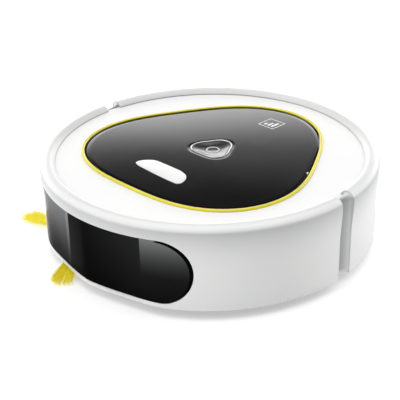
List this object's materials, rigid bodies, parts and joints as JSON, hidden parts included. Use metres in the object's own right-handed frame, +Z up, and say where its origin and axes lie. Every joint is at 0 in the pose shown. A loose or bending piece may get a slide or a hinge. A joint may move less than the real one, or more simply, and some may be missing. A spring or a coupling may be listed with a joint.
{
  "type": "robotic floor cleaner",
  "caption": "Round robotic floor cleaner: sliding front bumper with a dark sensor window, hinged glossy lid with a power button, sprung drive wheels, caster, main brush and side brush.",
  "frame": {"origin": "middle of the round body at the height of its flat underside, on the outer face of the blank rating plate; the floor lies 9.5 mm below", "axes": "+Z up, -Y towards the front (bumper and window), +X towards the cleaner's left side"},
  "size_m": [0.34, 0.3517, 0.096],
  "materials": {
    "white_shell": "satin white",
    "black_glass": "high gloss black",
    "smoke_button": "smoked gloss",
    "yellow_trim": "satin lemon",
    "yellow_bristle": "nylon filament",
    "silver_rim": "metallised",
    "dark_plastic": "fine texture",
    "grey_plastic": "fine texture",
    "white_plastic": "diffuse white",
    "tyre_rubber": "moulded tread",
    "steel": "bright",
    "circuit_board": "solder mask",
    "battery_wrap": "shrink film",
    "smoke_clear": "smoked clear",
    "filter_paper": "pleated paper"
  },
  "bodies": {
    "chassis": {"rear_shell": "white_shell", "top_deck": "white_shell", "trim_ring": "yellow_trim", "lid_hinge_pin": "steel", "chassis_base": "dark_plastic", "rating_plate": "silver_rim", "charging_contact_left": "steel", "charging_contact_right": "steel", "caster_socket": "grey_plastic", "brush_guard": "grey_plastic", "brush_housing": "dark_plastic", "brush_motor": "steel", "side_brush_motor": "steel", "battery_pack": "battery_wrap", "battery_door": "dark_plastic", "dust_bin": "smoke_clear", "dust_bin_lid": "grey_plastic", "bin_grip": "grey_plastic", "filter_frame": "grey_plastic", "filter_pleats": "filter_paper", "fan_housing": "dark_plastic", "fan_motor": "steel", "main_board": "circuit_board", "front_sensor_board": "circuit_board", "bumper_spring_left": "steel", "bumper_spring_right": "steel", "bumper_switch_left": "dark_plastic", "bumper_switch_right": "dark_plastic", "wheel_spring_left": "steel", "wheel_spring_right": "steel"},
    "bumper": {"bumper_shell": "white_shell", "window_lens": "black_glass"},
    "lid": {"lid_panel": "black_glass", "lid_frame": "dark_plastic", "button_bezel": "silver_rim", "button_board": "circuit_board", "badge_plate": "silver_rim"},
    "button": {"power_button": "smoke_button", "button_light_ring": "white_plastic"},
    "caster": {"caster_fork": "dark_plastic", "caster_axle": "steel"},
    "caster_roller": {"caster_wheel": "white_plastic"},
    "main_brush": {"main_brush_core": "dark_plastic", "main_brush_bristles": "yellow_bristle", "brush_gear": "grey_plastic"},
    "pinion": {"brush_pinion": "steel"},
    "side_brush": {"side_brush_hub": "dark_plastic", "side_brush_bristles": "yellow_bristle", "side_brush_screw": "steel"},
    "impeller": {"fan_impeller": "grey_plastic"},
    "switch": {"power_switch": "dark_plastic"},
    "arm_left": {"wheel_arm_left": "grey_plastic", "wheel_motor_left": "steel"},
    "wheel_left": {"wheel_hub_left": "grey_plastic", "wheel_tyre_left": "tyre_rubber"},
    "arm_right": {"wheel_arm_right": "grey_plastic", "wheel_motor_right": "steel"},
    "wheel_right": {"wheel_hub_right": "grey_plastic", "wheel_tyre_right": "tyre_rubber"}
  },
  "joints": [
    {"name": "bumper_slide", "type": "slide", "parent": "chassis", "child": "bumper", "axis": [0, 1, 0], "range_m": [0, 0.005], "stiffness_N_per_m": 1500, "springref_m": -0.002, "deforming": ["bumper_spring_left", "bumper_spring_right"]},
    {"name": "lid_hinge", "type": "hinge", "parent": "chassis", "child": "lid", "pos_m": [0, -0.119, 0.0757], "axis": [1, 0, 0], "range_deg": [0, 80]},
    {"name": "button_press", "type": "slide", "parent": "lid", "child": "button", "axis": [0, 0, -1], "range_m": [0, 0.0008], "stiffness_N_per_m": 2000, "springref_m": -0.0005},
    {"name": "arm_left_swing", "type": "hinge", "parent": "chassis", "child": "arm_left", "pos_m": [0.102, 0.0435, 0.0325], "axis": [-1, 0, 0], "range_deg": [-12, 10], "stiffness_Nm_per_rad": 2, "springref_deg": -13.75, "deforming": ["wheel_spring_left"]},
    {"name": "arm_right_swing", "type": "hinge", "parent": "chassis", "child": "arm_right", "pos_m": [-0.102, 0.0435, 0.0325], "axis": [-1, 0, 0], "range_deg": [-12, 10], "stiffness_Nm_per_rad": 2, "springref_deg": -13.75, "deforming": ["wheel_spring_right"]},
    {"name": "wheel_left_spin", "type": "hinge", "parent": "arm_left", "child": "wheel_left", "pos_m": [0.117, 0, 0.0255], "axis": [1, 0, 0], "continuous": true},
    {"name": "wheel_right_spin", "type": "hinge", "parent": "arm_right", "child": "wheel_right", "pos_m": [-0.117, 0, 0.0255], "axis": [1, 0, 0], "continuous": true},
    {"name": "caster_swivel", "type": "hinge", "parent": "chassis", "child": "caster", "pos_m": [0, -0.126, 0.0205], "axis": [0, 0, 1], "continuous": true},
    {"name": "caster_roll", "type": "hinge", "parent": "caster", "child": "caster_roller", "pos_m": [0, -0.12, 0.0045], "axis": [1, 0, 0], "continuous": true},
    {"name": "main_brush_spin", "type": "hinge", "parent": "chassis", "child": "main_brush", "pos_m": [0, 0.042, 0.0095], "axis": [1, 0, 0], "continuous": true},
    {"name": "pinion_spin", "type": "hinge", "parent": "chassis", "child": "pinion", "pos_m": [0.093, 0.05544, 0.01439], "axis": [1, 0, 0], "continuous": true},
    {"name": "side_brush_spin", "type": "hinge", "parent": "chassis", "child": "side_brush", "pos_m": [-0.08, -0.105, 0.0025], "axis": [0, 0, 1], "continuous": true, "deforming": ["side_brush_bristles"]},
    {"name": "fan_spin", "type": "hinge", "parent": "chassis", "child": "impeller", "pos_m": [0, 0.128, 0.0505], "axis": [0, 0, 1], "continuous": true},
    {"name": "power_switch_rock", "type": "hinge", "parent": "chassis", "child": "switch", "pos_m": [-0.14909, 0.06952, 0.0355], "axis": [-0.4226, -0.9063, 0], "range_deg": [-7, 7]}
  ],
  "couplings": [
    {"joint": "pinion_spin", "follows": "main_brush_spin", "ratio": -1.2}
  ]
}
